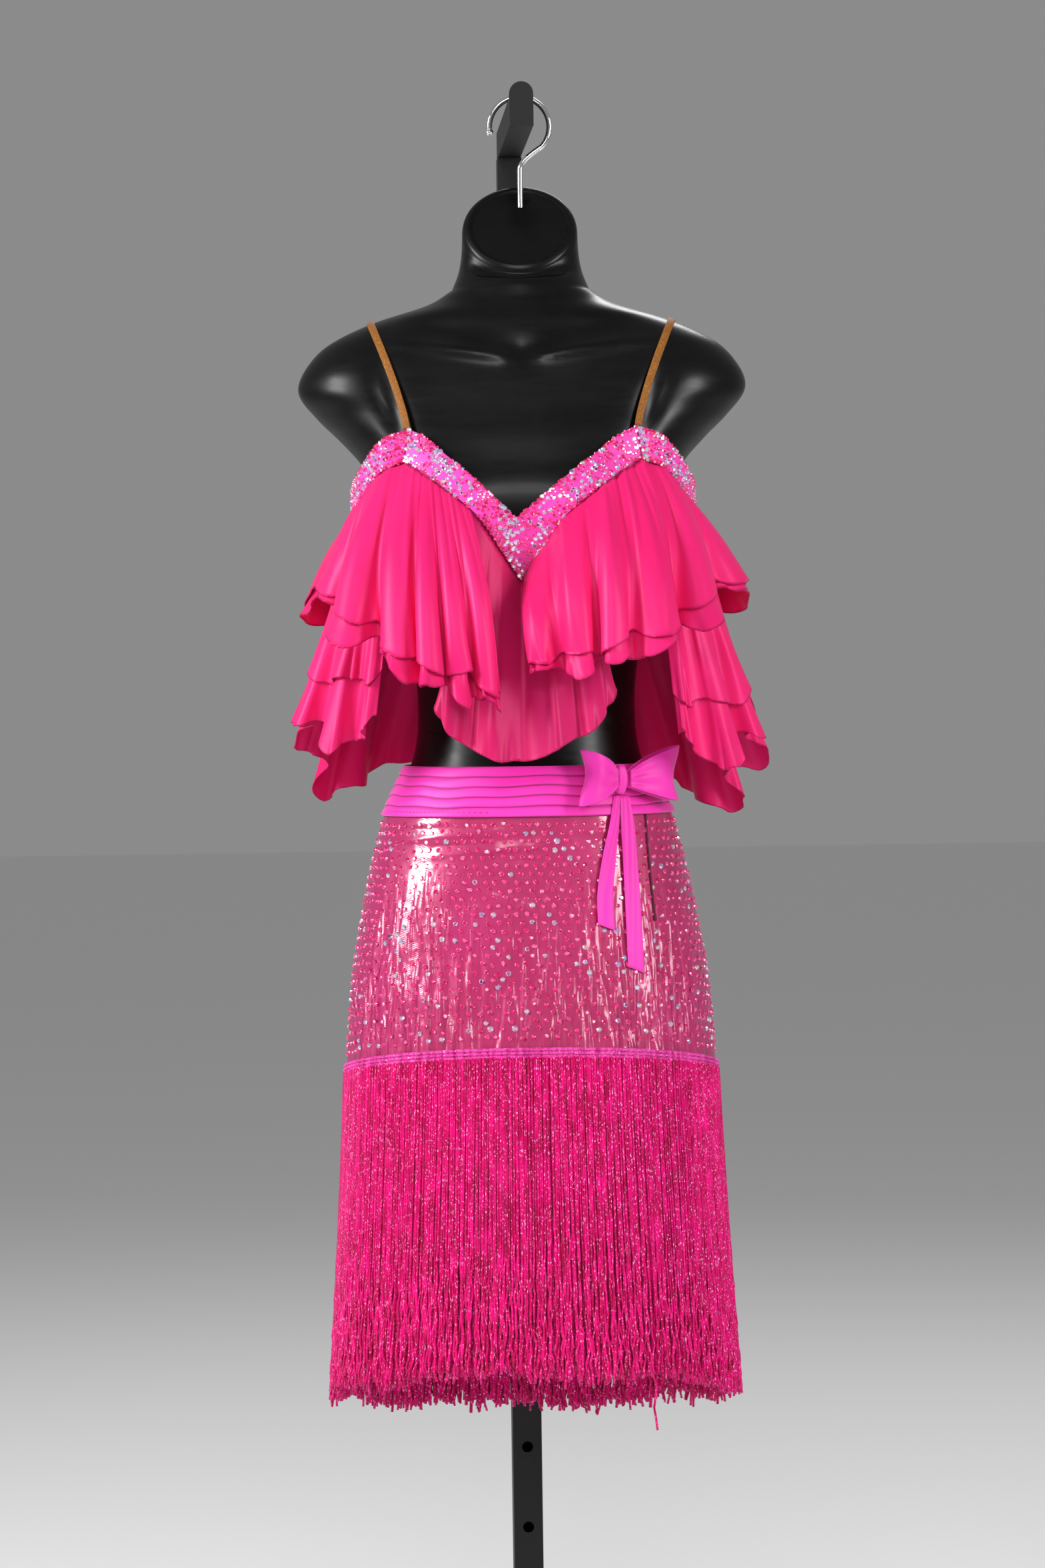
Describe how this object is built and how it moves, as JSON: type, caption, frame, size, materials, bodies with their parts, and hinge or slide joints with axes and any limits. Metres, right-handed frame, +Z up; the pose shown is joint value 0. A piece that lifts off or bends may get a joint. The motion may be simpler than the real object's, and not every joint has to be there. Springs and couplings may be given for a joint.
{
  "type": "latin dance costume on a hanging torso form and stand",
  "caption": "Two-piece latin dance costume, with flounced top and fringed skirt, on a limbless torso form that hangs by a hook from a square steel stand.",
  "frame": {"origin": "on the floor, on the underside of the base plate, straight below the torso form", "axes": "+Z up; the costume faces -Y; +X is the viewer's right, seen from the front"},
  "size_m": [0.4549, 0.4702, 1.6205],
  "materials": {
    "satin": "soft sheen",
    "band": "covered in stones",
    "sash": "matt stretch",
    "foil": "foil gloss",
    "fringe": "twisted thread",
    "elastic": "woven elastic",
    "form": "gloss",
    "steel": "powder coat",
    "chrome": "polished"
  },
  "bodies": {
    "root": {"stand_base": "steel", "stand_lower_tube": "steel", "stand_upper_bar": "steel", "stand_arm": "steel", "stand_end_stop": "steel", "hook": "chrome", "form": "form", "strap_left": "elastic", "strap_right": "elastic", "bodice_front": "band", "bodice_back": "band", "band_front": "band", "band_left": "band", "band_right": "band", "band_back": "band", "upper_flounce_left_outer": "satin", "upper_flounce_left_under": "satin", "upper_flounce_right_outer": "satin", "upper_flounce_right_under": "satin", "lower_flounce_left_outer": "satin", "lower_flounce_left_under": "satin", "lower_flounce_right_outer": "satin", "lower_flounce_right_under": "satin", "front_panel": "satin", "skirt_front": "foil", "skirt_back": "foil", "fringe": "fringe", "sash_front": "sash", "sash_back": "sash", "bow_loop_left": "sash", "bow_loop_right": "sash", "bow_knot": "sash", "bow_tail_left": "sash", "bow_tail_right": "sash"}
  },
  "joints": []
}
